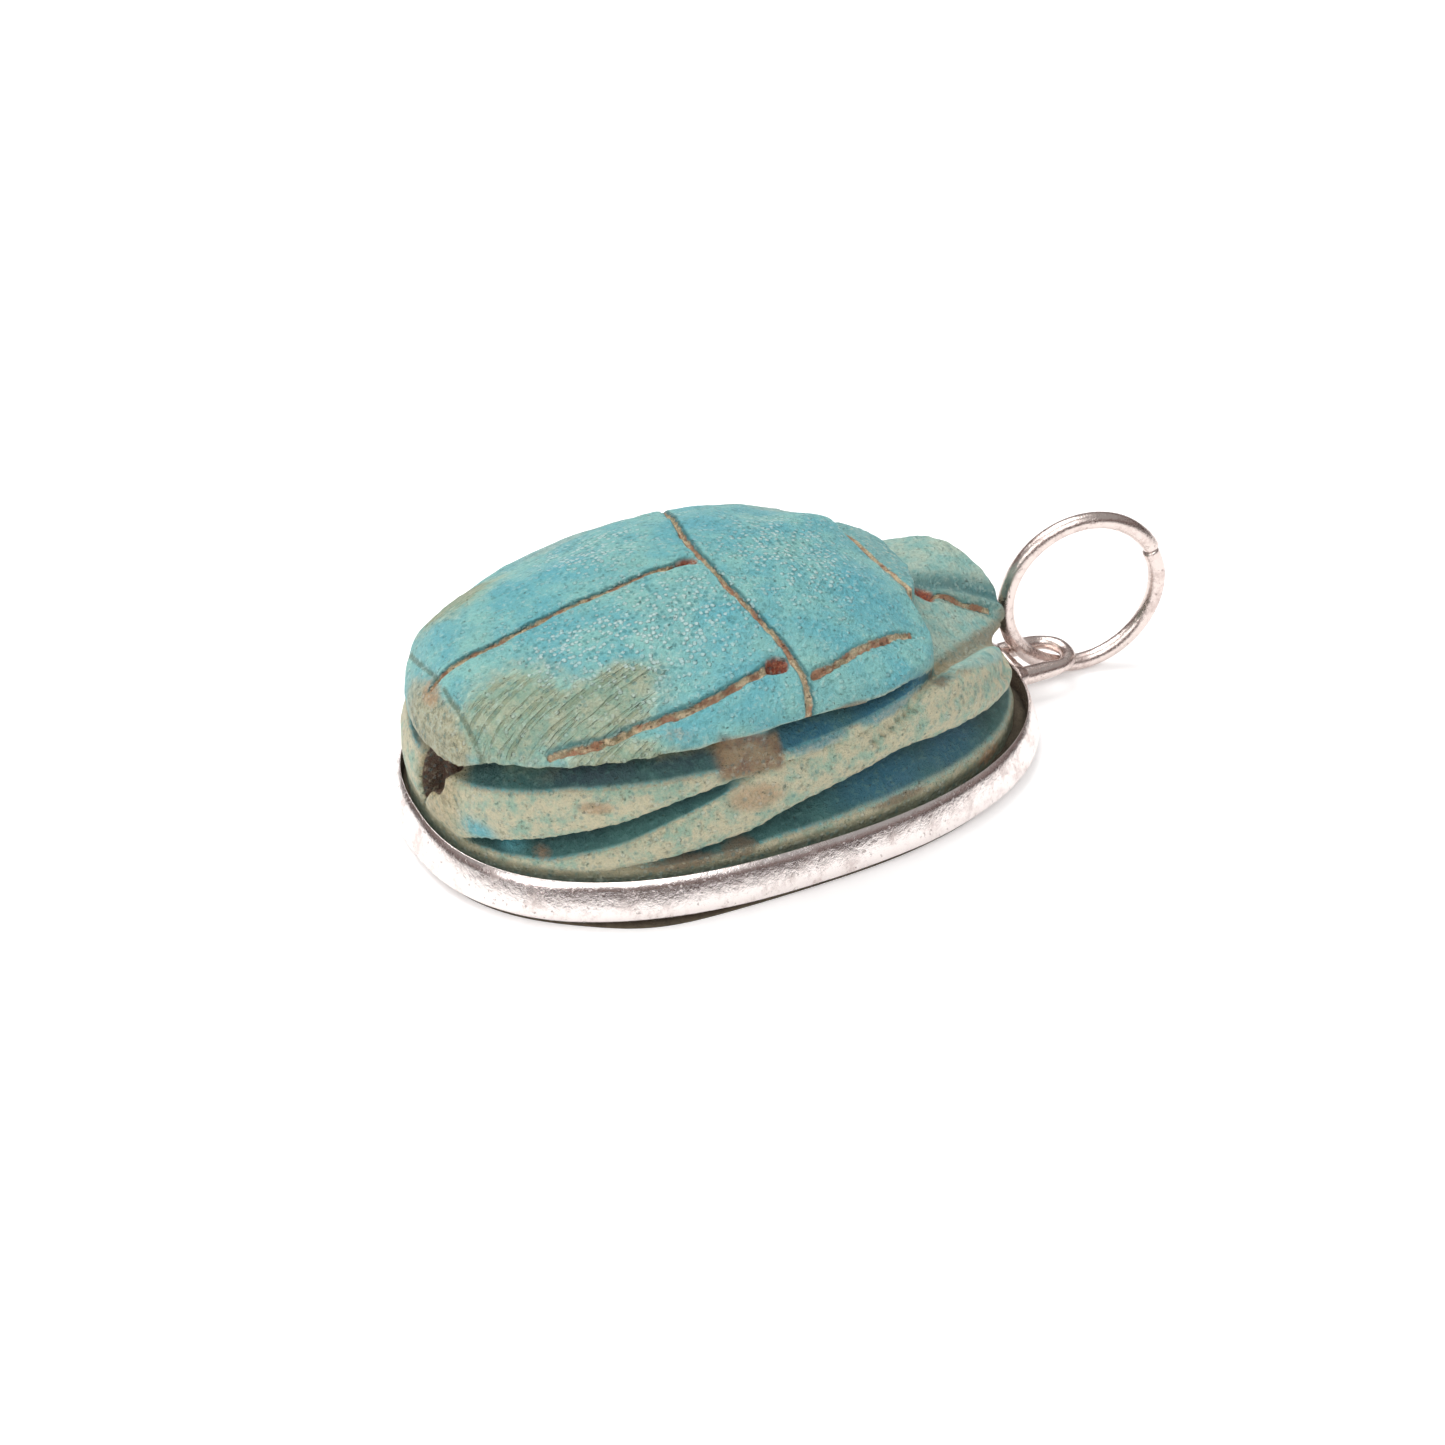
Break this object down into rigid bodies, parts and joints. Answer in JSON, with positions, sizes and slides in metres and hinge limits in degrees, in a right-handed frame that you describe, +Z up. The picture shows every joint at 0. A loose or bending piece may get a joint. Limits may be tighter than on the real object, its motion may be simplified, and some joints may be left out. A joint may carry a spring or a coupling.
{
  "type": "scarab amulet in a silver pendant setting",
  "caption": "Turquoise glazed scarab with carved wing cases, head and legs, held in an oval silver band with a soldered eye and a jump ring.",
  "frame": {"origin": "centre of the setting's oval, on the plane of the scarab's flat underside", "axes": "+X along the beetle towards its head and the jump ring, +Z up out of its back"},
  "size_m": [0.0376, 0.02, 0.0115],
  "materials": {
    "turquoise_faience": "satin",
    "aged_silver": "satin"
  },
  "bodies": {
    "root": {"scarab": "turquoise_faience", "silver_setting": "aged_silver", "soldered_eye": "aged_silver", "jump_ring": "aged_silver"}
  },
  "joints": []
}
